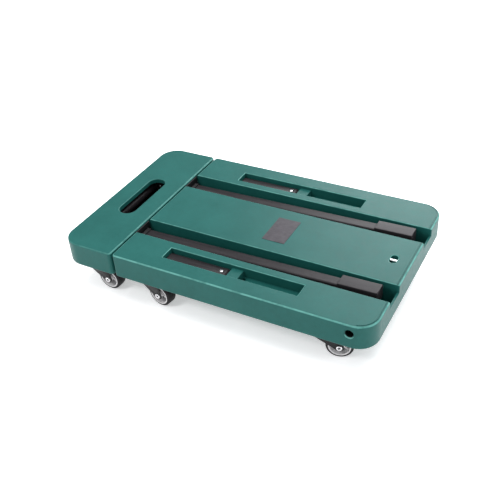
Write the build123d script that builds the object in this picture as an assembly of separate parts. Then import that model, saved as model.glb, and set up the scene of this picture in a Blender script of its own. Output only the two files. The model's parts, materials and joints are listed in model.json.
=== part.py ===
"""Low platform trolley with a telescopic pull handle, on six swivel casters.

Frame: origin on the floor under the centre of the stowed trolley, +X along its
length towards the handle's hinge, +Y to the rear, +Z up. Millimetres.
"""
from build123d import *
from math import ceil, hypot
import os

# ---- moulded body -------------------------------------------------------------
WIDTH = 300.0            # across both mouldings
DECK_LEN = 391.0         # main deck, along X
HEAD_LEN = 90.0          # end panel that heads the pull handle
SEAM = 3.0               # gap between panel and deck when stowed
BODY_H = 38.0            # outer wall, top face to bottom edge
WALL = 4.0               # outer wall thickness
TOP_T = 4.0              # top plate thickness
RIB_T = 3.0              # underside ribs and trough walls
RIB_PITCH = 43.0         # widest spacing of the underside ribs
RIB_SHORT = 2.0          # ribs stop this far above the bottom edge
CORNER_R = 29.0          # plan corners at the two ends
SEAM_CORNER_R = 5.0      # plan corners beside the seam
TOP_EDGE_R = 2.5
BOTTOM_EDGE_R = 3.0
LIP_R = 1.2              # rounding on the edges of the recesses

# ---- casters ------------------------------------------------------------------
WHEEL_D = 38.0
WHEEL_W = 17.0
HUB_D = 30.8             # under the tyre
HUB_RIM_T = 2.8
HUB_BORE_WALL = 2.0      # boss wall around the axle
HUB_SPOKES = 5
SPOKE_T = 2.6
SPOKE_W = 13.0           # along the axle
TREAD_R = 2.6            # shoulder of the tyre
TRAIL = 20.0             # swivel axis to wheel axle
AXLE_D = 5.0
AXLE_HEAD_D = 9.0
AXLE_HEAD_T = 1.9
FORK_T = 1.6
FORK_GAP = 0.5           # wheel face to fork leg
FORK_END_R = 6.0
FORK_TOP_L = 41.0        # crown, along the rolling direction
CROWN_T = 2.0
CROWN_GAP = 1.5          # tyre to crown
RACE_D = 28.0
RACE_BORE = 20.0
RACE_H = 4.1
SWIVEL_GAP = 0.4
PLATE_L = 40.0
PLATE_T = 2.0
PLATE_CORNER_R = 4.0
PLATE_SCREW_PITCH = 30.0
KINGPIN_D = 6.0
KINGPIN_HEAD_D = 10.0
KINGPIN_HEAD_T = 2.0
CASTER_INSET = 27.0      # swivel axis to the side edge
HEAD_CASTER_X = 40.0     # swivel axis to the panel's seam face, less the seam
MID_CASTER_X = 42.5      # swivel axis from the deck's seam face
END_CASTER_X = 74.0      # swivel axis from the deck's hinge end
SCREW_D = 4.0
SCREW_HEAD_D = 7.5
SCREW_HEAD_T = 2.3
SCREW_L = 16.0           # below the plate's top, into the boss
BOSS_D = 9.0

# ---- pull handle --------------------------------------------------------------
CHANNEL_W = 36.0
CHANNEL_Y = 69.5         # centre of each channel and tube
CHANNEL_DEPTH = 31.0
CHANNEL_END_WALL = 3.0   # wall left at the hinge end
END_NOTCH = 12.0         # that wall is lower by this, for the leaning handle
TUBE_W = 17.0            # outer tube
TUBE_H = 18.0
TUBE_T = 1.5
TUBE_DEPTH = 12.3        # tube axis below the deck, over the pivot
TUBE_TILT = 1.2          # the tubes run down towards the panel, in degrees
TUBE_START = 8.0         # mouth, from the deck's seam face
TUBE_CORNER_R = 2.0
INNER_W = 11.4
INNER_H = 12.4
INNER_T = 1.2
INNER_END = 91.0         # inner end, from the deck's hinge end
SLIDE_GAP = 0.3          # sliding clearance, each side
COLLAR_L = 6.0           # in front of the outer tube
COLLAR_SPIGOT = 10.0     # inside it
COLLAR_W = 20.0
COLLAR_H = 20.6
BUSH_L = 15.0
BUSH_CAP = 2.0
SLEEVE_L = 56.0
SLEEVE_W = 21.0
SLEEVE_ABOVE = 0.8       # stands this far above the deck, over the pivot
SLEEVE_BELOW = 26.5      # reaches this far below the deck
SLEEVE_SOLID = 19.0      # solid length around the pivot
SLEEVE_END_R = 9.0
SLEEVE_EDGE_R = 1.0
PIVOT_DEPTH = 14.5       # pivot below the deck
PIVOT_X = 31.0           # pivot from the deck's hinge end
SLEEVE_OVER = 11.0       # sleeve past the pivot
PIVOT_D = 8.0
PIVOT_FIT = 0.05         # radial running clearance
PIVOT_HEAD_D = 10.4
PIVOT_HEAD_T = 5.0
PIVOT_BORE = 11.0        # access hole from the side wall
PIVOT_BORE_LIP = 1.6     # its rim is eased by this
PIVOT_BOSS_D = 18.0
NUT_AF = 13.0
NUT_T = 6.5
SPACER_D = 14.0
SPACER_GAP = 0.4
WELL_L = 54.0            # the channel is deeper around the pivot
WELL_GAP = 2.0           # under the sleeve as it swings
RIVET_D = 4.0
RIVET_HEAD_D = 7.0
RIVET_HEAD_T = 1.2
SLEEVE_RIVET_X = 12.0    # from the sleeve's open end

# ---- end panel ----------------------------------------------------------------
SLOT_L = 106.0
SLOT_W = 28.0
SLOT_X = 45.0            # slot centre from the panel's seam face
SLOT_LIP = 7.0           # depth of the rim around the slot
CAVITY_BACK = 17.0       # hand space behind the slot, towards the outer end
CAVITY_FRONT = 2.0       # and in front of it
GRIP_D = 12.0
GRIP_X = 67.0            # grip bar from the panel's seam face
INNER_IN_HEAD = 76.0     # inner tube inside the panel
FLANGE_L = 24.0          # flange on each end of the grip bar, riveted to the tube
FLANGE_H = 12.0
FLANGE_T = 1.6
FLANGE_RIVET_X = 11.0    # rivet from the grip bar
FLANGE_RIVET_D = 3.2
FLANGE_RIVET_HEAD_D = 6.4
FLANGE_RIVET_HEAD_T = 1.8
TUBE_SCREW_X = 30.0
SOCKET_T = 2.4           # black plate on the seam face, around the inner tube
SOCKET_SIDE_GAP = 1.0
SOCKET_TOP = 3.0         # below the deck
TRAY_T = 1.6             # black tray that closes the hand space underneath
TRAY_GAP = 0.3
TRAY_DROP = 5.0          # its floor, below the bottom edge of the panel
TRAY_SIDE_H = 12.0       # its end walls stay below the grip bar
TRAY_FLANGE = 7.0        # flange under the panel's ribs, fore and aft
TRAY_SCREW_Y = 48.0
TRAY_SCREW_L = 9.0
TRAY_SCREW_HEAD_T = 1.6

# ---- flip-up stop arms --------------------------------------------------------
RECESS_START = 70.0      # from the deck's seam face
RECESS_L = 208.0
RECESS_W = 24.0
RECESS_Y = 112.0
ARM_BAY_L = 99.2         # part of the recess that holds the arm
ARM_BAY_DEPTH = 18.0
BLOCK_L = 17.2           # block between the arm and the finger pocket
BLOCK_DEPTH = 5.5
POCKET_DEPTH = 16.0
DRAIN_L = 4.5            # slot across the pocket floor, beside the block
DRAIN_W = 19.0
ARM_W = 18.0
ARM_T = 9.8
ARM_DEPTH = 6.6          # top of the arm below the deck
ARM_GAP = 0.7            # free end to the bay's wall
ARM_END_GAP = 1.8        # pivot end to the block
ARM_PIN_D = 3.5
ARM_RIVET_D = 2.6
ARM_RIVET_HEAD_D = 5.2
ARM_RIVET_HEAD_T = 1.2    # stays clear of the block with the arm up
ARM_RIVET_X = 4.4        # rivet from the arm's pin

# ---- deck details -------------------------------------------------------------
LABEL_L = 35.0
LABEL_W = 58.0
LABEL_X = 195.5          # label centre from the deck's seam face
LABEL_T = 0.8
LABEL_PROUD = 0.4
TIE_X = 26.0             # tie-down hole from the deck's hinge end
TIE_L = 10.0
TIE_W = 18.0
TIE_DEPTH = 9.0
TIE_PIN_D = 4.0
TIE_PIN_GRIP = 4.0       # held in the moulding at each end
TIE_PIN_DEPTH = 3.2      # pin axis below the deck
GROOVE_IN = 2.9          # groove from the deck's outer edge
GROOVE_W = 1.1
GROOVE_DEPTH = 0.8

# ---- places that follow -------------------------------------------------------
LENGTH = HEAD_LEN + SEAM + DECK_LEN
X_HINGE = LENGTH / 2                       # deck, hinge end
X_SEAM = X_HINGE - DECK_LEN                # deck, seam face
X_PANEL = X_SEAM - SEAM                    # panel, seam face
X_OUT = -LENGTH / 2                        # panel, outer end
FORK_IN = WHEEL_W / 2 + FORK_GAP
FORK_OUT = FORK_IN + FORK_T
CROWN_Z = WHEEL_D + CROWN_GAP
RACE_Z = CROWN_Z + CROWN_T + SWIVEL_GAP
PLATE_Z = RACE_Z + RACE_H
SEAT_Z = PLATE_Z + PLATE_T                 # ribs rest on the caster plates here
BASE_Z = SEAT_Z - RIB_SHORT                # bottom edge of the mouldings
DECK_Z = BASE_Z + BODY_H                   # top face
PIVOT_Z = DECK_Z - PIVOT_DEPTH
TUBE_Z = DECK_Z - TUBE_DEPTH
PIVOT = X_HINGE - PIVOT_X
SLEEVE_X = PIVOT + SLEEVE_OVER - SLEEVE_L  # open end of the sleeve
TUBE_X = X_SEAM + TUBE_START
CHANNEL_FLOOR = DECK_Z - CHANNEL_DEPTH
WELL_FLOOR = PIVOT_Z - hypot(SLEEVE_OVER, SLEEVE_ABOVE + PIVOT_DEPTH) - WELL_GAP
RECESS_X = X_SEAM + RECESS_START
BLOCK_X = RECESS_X + ARM_BAY_L
POCKET_X = BLOCK_X + BLOCK_L
POCKET_END = RECESS_X + RECESS_L
ARM_END = BLOCK_X - ARM_END_GAP
ARM_PIVOT = ARM_END - ARM_T / 2
ARM_Z = DECK_Z - ARM_DEPTH - ARM_T / 2
SLOT_CX = X_PANEL - SLOT_X
GRIP_CX = X_PANEL - GRIP_X
GRIP_HALF = CHANNEL_Y - INNER_W / 2        # grip bar, centre to the inner tube's face
CAVITY_X0 = SLOT_CX - SLOT_W / 2 - CAVITY_BACK
CAVITY_X1 = SLOT_CX + SLOT_W / 2 + CAVITY_FRONT
SIDES = {"front": -1, "rear": 1}

CASTER_Y = WIDTH / 2 - CASTER_INSET
# place: (x, y, heading of the trail in degrees)
CASTERS = {
    "head_front": (X_PANEL - HEAD_CASTER_X - SEAM * 2, -CASTER_Y, -2.0),
    "head_rear": (X_PANEL - HEAD_CASTER_X - SEAM * 2, CASTER_Y, 5.0),
    "mid_front": (X_SEAM + MID_CASTER_X, -CASTER_Y, -8.0),
    "mid_rear": (X_SEAM + MID_CASTER_X, CASTER_Y, -3.0),
    "end_front": (X_HINGE - END_CASTER_X, -CASTER_Y, 15.0),
    "end_rear": (X_HINGE - END_CASTER_X, CASTER_Y, 9.0),
}
DECK_CASTERS = [place for place in CASTERS if not place.startswith("head")]
HEAD_CASTERS = [place for place in CASTERS if place.startswith("head")]


def block(x0, x1, y0, y1, z0, z1):
    """Plain box between two corners."""
    low = (min(x0, x1), min(y0, y1), min(z0, z1))
    size = (abs(x1 - x0), abs(y1 - y0), abs(z1 - z0))
    return Pos(*low) * Box(*size, align=(Align.MIN, Align.MIN, Align.MIN))


def rod_z(x, y, z0, z1, diameter):
    return Pos(x, y, z0) * Cylinder(diameter / 2, z1 - z0, align=(Align.CENTER, Align.CENTER, Align.MIN))


def rod_y(x, z, y0, y1, diameter):
    rod = Cylinder(diameter / 2, abs(y1 - y0))
    return Pos(x, (y0 + y1) / 2, z) * Rot(90, 0, 0) * rod


def bar_x(x0, x1, y, z, width, height, corner=0.0):
    """Bar of rectangular section along X, with rounded long edges."""
    bar = block(x0, x1, y - width / 2, y + width / 2, z - height / 2, z + height / 2)
    return fillet(bar.edges().filter_by(Axis.X), corner) if corner else bar


def tilted(shape):
    """Turns a shape that was built level, over the pivot, to run as the tubes do."""
    return Pos(PIVOT, 0, TUBE_Z) * Rot(0, -TUBE_TILT, 0) * Pos(-PIVOT, 0, -TUBE_Z) * shape


def at_height(shape, z):
    """Edges of a shape that lie in the plane at height z."""
    return shape.edges().filter_by_position(Axis.Z, z - 0.01, z + 0.01)


def moulding(x0, x1, outer_end):
    """Rounded outer block. outer_end is +1 if the large corners face +X, -1 if they face -X."""
    body = block(x0, x1, -WIDTH / 2, WIDTH / 2, BASE_Z, DECK_Z)
    upright = body.edges().filter_by(Axis.Z).sort_by(Axis.X)
    large, small = (upright[2:], upright[:2]) if outer_end > 0 else (upright[:2], upright[2:])
    body = fillet(large, CORNER_R)
    small_x = x0 if outer_end > 0 else x1
    small = body.edges().filter_by(Axis.Z).filter_by_position(Axis.X, small_x - 0.01, small_x + 0.01)
    body = fillet(small, SEAM_CORNER_R)
    body = fillet(at_height(body, DECK_Z), TOP_EDGE_R)
    return fillet(at_height(body, BASE_Z), BOTTOM_EDGE_R)


def cell_spans(low, high):
    """Open spans between ribs that divide a width into pitches no wider than RIB_PITCH."""
    count = ceil((high - low + RIB_T) / RIB_PITCH)
    pitch = (high - low + RIB_T) / count
    return [(low + i * pitch, low + (i + 1) * pitch - RIB_T) for i in range(count)]


def inset_outline(x0, x1, outer_end, z0, z1):
    """Rounded block that lies one wall thickness inside a moulding's outer faces."""
    body = block(x0 + WALL, x1 - WALL, -WIDTH / 2 + WALL, WIDTH / 2 - WALL, z0, z1)
    upright = body.edges().filter_by(Axis.Z).sort_by(Axis.X)
    return fillet(upright[2:] if outer_end > 0 else upright[:2], CORNER_R - WALL)


def underside(x0, x1, outer_end, bands, keep, full_depth=()):
    """What is cut from below: the cells between the ribs, less what stays, and the space under them."""
    cells = []
    for y0, y1 in bands:
        for side in SIDES.values():
            for c0, c1 in cell_spans(x0 + WALL, x1 - WALL):
                cells.append(block(c0, c1, side * y0, side * y1, SEAT_Z - 1, DECK_Z - TOP_T))
    cells = (Part() + cells - keep) & inset_outline(x0, x1, outer_end, SEAT_Z - 1, DECK_Z)
    return cells + (inset_outline(x0, x1, outer_end, BASE_Z - 1, SEAT_Z) - list(full_depth))


def screw_spots(places):
    """Centres of the caster screws, four to a plate."""
    reach = PLATE_SCREW_PITCH / 2
    return [(CASTERS[p][0] + i * reach, CASTERS[p][1] + j * reach) for p in places
            for i in (-1, 1) for j in (-1, 1)]


def screw_bosses(places):
    return [rod_z(x, y, SEAT_Z - 1, DECK_Z - 1, BOSS_D) for x, y in screw_spots(places)]


def screw_holes(places):
    return [rod_z(x, y, SEAT_Z - 1, PLATE_Z + SCREW_L, SCREW_D) for x, y in screw_spots(places)]


def slot_hole(x, y, z0, z1, length_x, length_y):
    """Obround solid, upright, as long as length_y along Y."""
    outline = Pos(x, y, z0) * Rot(0, 0, 90) * SlotOverall(length_y, length_x)
    return extrude(outline, z1 - z0)


def channel_cuts():
    """Open troughs for the handle's tubes, the well under each pivot and the notch in the end wall."""
    cuts = []
    for side in SIDES.values():
        y0, y1 = side * CHANNEL_Y - CHANNEL_W / 2, side * CHANNEL_Y + CHANNEL_W / 2
        end = X_HINGE - CHANNEL_END_WALL
        cuts.append(block(X_SEAM - 1, end, y0, y1, CHANNEL_FLOOR, DECK_Z + 1))
        cuts.append(block(end - WELL_L, end, y0, y1, WELL_FLOOR, DECK_Z))
        cuts.append(block(end - 1, X_HINGE + 1, y0, y1, DECK_Z - END_NOTCH, DECK_Z + 1))
    return cuts


def recess_cuts():
    """Side recesses: a bay for the stop arm, a low block, and a finger pocket with a drain slot."""
    cuts = []
    for side in SIDES.values():
        y = side * RECESS_Y
        y0, y1 = y - RECESS_W / 2, y + RECESS_W / 2
        cuts.append(block(RECESS_X, POCKET_END, y0, y1, DECK_Z - BLOCK_DEPTH, DECK_Z + 1))
        cuts.append(block(RECESS_X, BLOCK_X, y0, y1, DECK_Z - ARM_BAY_DEPTH, DECK_Z))
        cuts.append(block(POCKET_X, POCKET_END, y0, y1, DECK_Z - POCKET_DEPTH, DECK_Z))
        cuts.append(block(POCKET_X, POCKET_X + DRAIN_L, y - DRAIN_W / 2, y + DRAIN_W / 2, BASE_Z - 1, DECK_Z))
    return cuts


def end_groove():
    """Shallow line on the top face that follows the rounded hinge end."""
    def outline(inset):
        plate = block(X_HINGE - 3 * CORNER_R, X_HINGE - inset, -WIDTH / 2 + inset, WIDTH / 2 - inset,
                      DECK_Z - GROOVE_DEPTH, DECK_Z + 1)
        upright = plate.edges().filter_by(Axis.Z).sort_by(Axis.X)
        return fillet(upright[2:], CORNER_R - inset)
    ring = outline(GROOVE_IN) - outline(GROOVE_IN + GROOVE_W)
    return ring & block(X_HINGE - CORNER_R * 0.8, X_HINGE, -WIDTH / 2, WIDTH / 2, BASE_Z, DECK_Z + 2)


def deck_shell():
    """Main deck moulding, open and ribbed underneath."""
    inner_side = CHANNEL_Y - CHANNEL_W / 2
    outer_side = CHANNEL_Y + CHANNEL_W / 2
    keep = screw_bosses(DECK_CASTERS)
    wells = [block(X_HINGE - CHANNEL_END_WALL - WELL_L - RIB_T, X_HINGE, side * (inner_side - RIB_T),
                   side * (outer_side + RIB_T), BASE_Z, DECK_Z) for side in SIDES.values()]
    for side in SIDES.values():
        keep.append(block(X_SEAM, X_HINGE, side * (inner_side - RIB_T), side * (outer_side + RIB_T),
                          CHANNEL_FLOOR - RIB_T, DECK_Z))
        trough = RECESS_W / 2 + RIB_T
        keep.append(block(RECESS_X - RIB_T, POCKET_END + RIB_T, side * (RECESS_Y - trough),
                          side * (RECESS_Y + trough), DECK_Z - ARM_BAY_DEPTH - RIB_T, DECK_Z))
        drain = DRAIN_W / 2 + RIB_T
        keep.append(block(POCKET_X - RIB_T, POCKET_X + DRAIN_L + RIB_T, side * (RECESS_Y - drain),
                          side * (RECESS_Y + drain), SEAT_Z, DECK_Z))
        keep.append(rod_y(PIVOT, PIVOT_Z, side * outer_side, side * WIDTH / 2, PIVOT_BOSS_D))
    keep.append(block(X_HINGE - TIE_X - TIE_L, X_HINGE - TIE_X + TIE_L, -TIE_W / 2 - RIB_T, TIE_W / 2 + RIB_T,
                      DECK_Z - TIE_DEPTH - RIB_T, DECK_Z))
    mid = (outer_side + RIB_T + WIDTH / 2 - WALL) / 2
    bands = [(RIB_T / 2, inner_side - RIB_T), (inner_side, outer_side), (outer_side + RIB_T, mid - RIB_T / 2),
             (mid + RIB_T / 2, WIDTH / 2 - WALL)]
    shell = moulding(X_SEAM, X_HINGE, 1)
    shell -= underside(X_SEAM, X_HINGE, 1, bands, keep + wells, wells)
    shell -= channel_cuts() + recess_cuts()
    shell -= slot_hole(X_HINGE - TIE_X, 0, DECK_Z - TIE_DEPTH, DECK_Z + 1, TIE_L, TIE_W)
    inner_edges = [e for e in at_height(shell, DECK_Z) if abs(e.center().Y) < WIDTH / 2 - WALL
                   and X_SEAM + WALL < e.center().X < X_HINGE - WALL]
    shell = fillet(inner_edges, LIP_R)
    for side in SIDES.values():
        shell -= rod_y(PIVOT, PIVOT_Z, side * (inner_side - 2 * RIB_T), side * (outer_side + 2 * RIB_T),
                       PIVOT_D)
        shell -= rod_y(PIVOT, PIVOT_Z, side * (outer_side + RIB_T * 1.5), side * (WIDTH / 2 + 1), PIVOT_BORE)
        rim = Cone(PIVOT_BORE / 2, PIVOT_BORE / 2 + PIVOT_BORE_LIP, PIVOT_BORE_LIP)
        shell -= Pos(PIVOT, side * (WIDTH / 2 - PIVOT_BORE_LIP / 2), PIVOT_Z) * Rot(-90 * side, 0, 0) * rim
        shell -= rod_y(PIVOT, PIVOT_Z, side * (inner_side - RIB_T), side * (inner_side - RIB_T - 3 * NUT_T),
                       NUT_AF + 6)
        shell -= rod_y(ARM_PIVOT, ARM_Z, side * (RECESS_Y - arm_pin_length() / 2),
                       side * (RECESS_Y + arm_pin_length() / 2), ARM_PIN_D)
    shell -= tie_pin_bar()
    shell -= Pos(X_SEAM + LABEL_X, 0, DECK_Z) * Box(LABEL_L, LABEL_W, 2 * (LABEL_T - LABEL_PROUD))
    shell -= end_groove()
    return shell - screw_holes(DECK_CASTERS)


def head_shell():
    """End panel moulding with the hand slot, the hand space under it and sockets for the tubes."""
    slot_back = SLOT_CX - SLOT_W / 2
    slot_front = SLOT_CX + SLOT_W / 2
    hand_space = block(CAVITY_X0, CAVITY_X1, -GRIP_HALF, GRIP_HALF, BASE_Z - 1, DECK_Z - TOP_T)
    hand_walls = block(CAVITY_X0 - RIB_T, CAVITY_X1 + RIB_T, -GRIP_HALF - RIB_T, GRIP_HALF + RIB_T,
                       SEAT_Z, DECK_Z)
    keep = screw_bosses(HEAD_CASTERS) + [hand_walls]
    keep += [rod_z(x, y, SEAT_Z, DECK_Z - TOP_T, BOSS_D) for x, y in tray_screw_spots()]
    tube_end = X_PANEL - INNER_IN_HEAD
    for side in SIDES.values():
        y0 = side * (CHANNEL_Y - INNER_W / 2 - RIB_T)
        y1 = side * (CHANNEL_Y + INNER_W / 2 + RIB_T)
        socket = block(tube_end - RIB_T, X_PANEL, y0, y1, TUBE_Z - INNER_H / 2 - RIB_T, DECK_Z + BODY_H)
        keep.append(tilted(socket))
        keep.append(rod_z(X_PANEL - TUBE_SCREW_X, side * CHANNEL_Y, SEAT_Z, DECK_Z - TOP_T, BOSS_D))
    lip = slot_hole(SLOT_CX, 0, DECK_Z - SLOT_LIP, DECK_Z, SLOT_W + 2 * RIB_T, SLOT_L + 2 * RIB_T)
    reach = WIDTH / 2 - WALL
    rows = cell_spans(RIB_T / 2, reach)
    shell = moulding(X_OUT, X_PANEL, -1)
    shell -= underside(X_OUT, X_PANEL, -1, rows, keep)
    shell -= hand_space - lip
    shell -= slot_hole(SLOT_CX, 0, BASE_Z - 1, DECK_Z + 1, SLOT_W, SLOT_L)
    slot_edges = [e for e in at_height(shell, DECK_Z) if abs(e.center().Y) < SLOT_L / 2 + 1
                  and slot_back - 1 < e.center().X < slot_front + 1]
    shell = fillet(slot_edges, LIP_R)
    for side in SIDES.values():
        bore = bar_x(tube_end, X_PANEL + 1, side * CHANNEL_Y, TUBE_Z, INNER_W, INNER_H, TUBE_CORNER_R)
        shell -= tilted(bore)
        shell -= rod_z(X_PANEL - TUBE_SCREW_X, side * CHANNEL_Y, BASE_Z, DECK_Z - BODY_H / 2, SCREW_D)
    shell -= [rod_z(x, y, SEAT_Z - 1, SEAT_Z + TRAY_SCREW_L, SCREW_D) for x, y in tray_screw_spots()]
    return shell - screw_holes(HEAD_CASTERS)


def tray_screw_spots():
    reach = TRAY_FLANGE / 2 + 0.5
    return [(x, y) for x in (CAVITY_X0 - reach, CAVITY_X1 + reach) for y in (-TRAY_SCREW_Y, TRAY_SCREW_Y)]


def hand_tray():
    """Black tray that lines the hand space and closes it from below."""
    bottom = BASE_Z - TRAY_DROP
    x0, x1, half = CAVITY_X0 + TRAY_GAP, CAVITY_X1 - TRAY_GAP, GRIP_HALF - TRAY_GAP
    tray = block(x0, x1, -half, half, bottom, DECK_Z - TOP_T - TRAY_GAP)
    tray -= block(x0 + TRAY_T, x1 - TRAY_T, -half + TRAY_T, half - TRAY_T, bottom + TRAY_T, DECK_Z)
    for side in SIDES.values():
        tray -= block(x0 + TRAY_T, x1 - TRAY_T, side * (half - TRAY_T), side * (half + 1),
                      SEAT_Z + TRAY_SIDE_H - TRAY_DROP, DECK_Z)
    outside = block(x0 - TRAY_FLANGE, x1 + TRAY_FLANGE, -half, half, SEAT_Z - TRAY_T, SEAT_Z)
    tray += outside - block(x0, x1, -half, half, BASE_Z - 1, SEAT_Z + 1)
    lip_room = slot_hole(SLOT_CX, 0, DECK_Z - SLOT_LIP - TRAY_GAP, DECK_Z, SLOT_W + 2 * RIB_T + 2 * TRAY_GAP,
                         SLOT_L + 2 * RIB_T + 2 * TRAY_GAP)
    return tray - lip_room - [rod_z(x, y, BASE_Z - 1, DECK_Z, SCREW_D) for x, y in tray_screw_spots()]


def tray_screw():
    head_z = SEAT_Z - TRAY_T
    screw = rod_z(0, 0, head_z, SEAT_Z + TRAY_SCREW_L, SCREW_D)
    return screw + rod_z(0, 0, head_z - TRAY_SCREW_HEAD_T, head_z, SCREW_HEAD_D)


# ---- pull handle --------------------------------------------------------------
def outer_tube(side):
    y = side * CHANNEL_Y
    end = SLEEVE_X + SLEEVE_L - SLEEVE_SOLID
    tube = bar_x(TUBE_X, end, y, TUBE_Z, TUBE_W, TUBE_H, TUBE_CORNER_R)
    bore = bar_x(TUBE_X - 1, end + 1, y, TUBE_Z, TUBE_W - 2 * TUBE_T, TUBE_H - 2 * TUBE_T)
    return tilted(tube - bore) - sleeve_rivet(side)


def sleeve(side):
    """Hinge block that holds the outer tube and turns on the pivot bolt."""
    y = side * CHANNEL_Y
    top, bottom = DECK_Z + SLEEVE_ABOVE, DECK_Z - SLEEVE_BELOW
    body = block(SLEEVE_X, SLEEVE_X + SLEEVE_L, y - SLEEVE_W / 2, y + SLEEVE_W / 2, bottom, top)
    lower = at_height(body, bottom).filter_by(Axis.Y).sort_by(Axis.X)[-1]
    body = fillet(lower, SLEEVE_END_R)
    body = fillet(at_height(body, top), SLEEVE_EDGE_R)
    end = SLEEVE_X + SLEEVE_L - SLEEVE_SOLID
    body -= bar_x(SLEEVE_X - 1, end, y, TUBE_Z, TUBE_W, TUBE_H, TUBE_CORNER_R)
    body = tilted(body) - rod_y(PIVOT, PIVOT_Z, y - SLEEVE_W, y + SLEEVE_W, PIVOT_D + 2 * PIVOT_FIT)
    return body - sleeve_rivet(side)


def sleeve_rivet(side):
    """Rivet across the sleeve and the end of the outer tube."""
    x = SLEEVE_X + SLEEVE_RIVET_X
    half = SLEEVE_W / 2
    y = side * CHANNEL_Y
    rivet = rod_y(x, TUBE_Z, y - half, y + half, RIVET_D)
    for end in (-1, 1):
        rivet += rod_y(x, TUBE_Z, y + end * half, y + end * (half + RIVET_HEAD_T), RIVET_HEAD_D)
    return tilted(rivet)


def collar(side):
    """Plastic guide in the mouth of the outer tube: a flange in front of it and a spigot inside."""
    y = side * CHANNEL_Y
    gap = 2 * SLIDE_GAP
    body = bar_x(TUBE_X - COLLAR_L, TUBE_X, y, TUBE_Z, COLLAR_W, COLLAR_H, TUBE_CORNER_R)
    body += bar_x(TUBE_X, TUBE_X + COLLAR_SPIGOT, y, TUBE_Z, TUBE_W - 2 * TUBE_T, TUBE_H - 2 * TUBE_T)
    body -= bar_x(TUBE_X - COLLAR_L - 1, TUBE_X + COLLAR_SPIGOT + 1, y, TUBE_Z, INNER_W + gap, INNER_H + gap,
                  TUBE_CORNER_R)
    return tilted(body)


def inner_tube(side):
    y = side * CHANNEL_Y
    start, end = X_PANEL - INNER_IN_HEAD, X_HINGE - INNER_END
    tube = bar_x(start, end, y, TUBE_Z, INNER_W, INNER_H, TUBE_CORNER_R)
    tube -= bar_x(start - 1, end + 1, y, TUBE_Z, INNER_W - 2 * INNER_T, INNER_H - 2 * INNER_T)
    tube = tilted(tube) - tube_screw(side)
    return tube - grip_rivet(side)


def slide_bush(side):
    """Bush on the inner tube's end, a sliding fit in the outer tube."""
    y = side * CHANNEL_Y
    end = X_HINGE - INNER_END
    bore_w, bore_h = TUBE_W - 2 * TUBE_T, TUBE_H - 2 * TUBE_T
    gap = 2 * SLIDE_GAP
    body = bar_x(end + BUSH_CAP - BUSH_L, end + BUSH_CAP, y, TUBE_Z, bore_w - gap, bore_h - gap)
    return tilted(body - bar_x(end - BUSH_L, end, y, TUBE_Z, INNER_W, INNER_H, TUBE_CORNER_R))


def grip_bar():
    """Cross bar of the handle, with a flange on each end that lies against the inner tube."""
    bar = rod_y(GRIP_CX, TUBE_Z, -GRIP_HALF, GRIP_HALF, GRIP_D)
    for side in SIDES.values():
        middle = GRIP_CX + FLANGE_RIVET_X / 2
        flange = block(middle - FLANGE_L / 2, middle + FLANGE_L / 2, side * GRIP_HALF,
                       side * (GRIP_HALF - FLANGE_T), TUBE_Z - FLANGE_H / 2, TUBE_Z + FLANGE_H / 2)
        bar += fillet(flange.edges().filter_by(Axis.Y), TUBE_CORNER_R)
    return tilted(bar) - [grip_rivet(side) for side in SIDES.values()]


def grip_rivet(side):
    """Bright rivet through the flange and the inner tube's wall."""
    x = GRIP_CX + FLANGE_RIVET_X
    face = side * (GRIP_HALF - FLANGE_T)
    shank = rod_y(x, TUBE_Z, face, side * (GRIP_HALF + INNER_T), FLANGE_RIVET_D)
    head = rod_y(x, TUBE_Z, face, face - side * FLANGE_RIVET_HEAD_T, FLANGE_RIVET_HEAD_D)
    rim = head.edges().filter_by(GeomType.CIRCLE).sort_by(lambda e: abs(e.center().Y))[0]
    return tilted(shank + fillet(rim, FLANGE_RIVET_HEAD_T * 0.8))


def tube_screw(side):
    """Screw that holds the inner tube in the panel, driven from below."""
    x, y = X_PANEL - TUBE_SCREW_X, side * CHANNEL_Y
    screw = rod_z(x, y, SEAT_Z, DECK_Z - BODY_H / 2, SCREW_D)
    return screw + rod_z(x, y, SEAT_Z - SCREW_HEAD_T, SEAT_Z, SCREW_HEAD_D)


def socket_plate(side):
    """Black plate on the panel's seam face that closes the end of the channel around the inner tube."""
    y = side * CHANNEL_Y
    half = CHANNEL_W / 2 - SOCKET_SIDE_GAP
    plate = block(X_PANEL, X_PANEL + SOCKET_T, y - half, y + half, CHANNEL_FLOOR + SOCKET_SIDE_GAP,
                  DECK_Z - SOCKET_TOP)
    return plate - tilted(bar_x(X_PANEL - 1, X_SEAM, y, TUBE_Z, INNER_W, INNER_H, TUBE_CORNER_R))


# ---- pivot --------------------------------------------------------------------
def pivot_bolt(side):
    seat = side * (CHANNEL_Y + CHANNEL_W / 2 + RIB_T * 1.5)
    tip = side * (CHANNEL_Y - CHANNEL_W / 2 - RIB_T - NUT_T - 1)
    bolt = rod_y(PIVOT, PIVOT_Z, tip, seat, PIVOT_D)
    head = rod_y(PIVOT, PIVOT_Z, seat, seat + side * PIVOT_HEAD_T, PIVOT_HEAD_D)
    socket = Pos(PIVOT, seat + side * PIVOT_HEAD_T, PIVOT_Z) * Rot(90, 0, 0) * extrude(
        RegularPolygon(PIVOT_D * 0.35, 6), PIVOT_HEAD_T * 0.6, both=True)
    return bolt + head - socket


def pivot_nut(side):
    seat = side * (CHANNEL_Y - CHANNEL_W / 2 - RIB_T)
    centre = seat - side * NUT_T / 2
    nut = Pos(PIVOT, centre, PIVOT_Z) * Rot(90, 0, 0) * extrude(
        RegularPolygon(NUT_AF / 2, 6, major_radius=False), NUT_T / 2, both=True)
    return nut - rod_y(PIVOT, PIVOT_Z, centre - NUT_T, centre + NUT_T, PIVOT_D)


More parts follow.
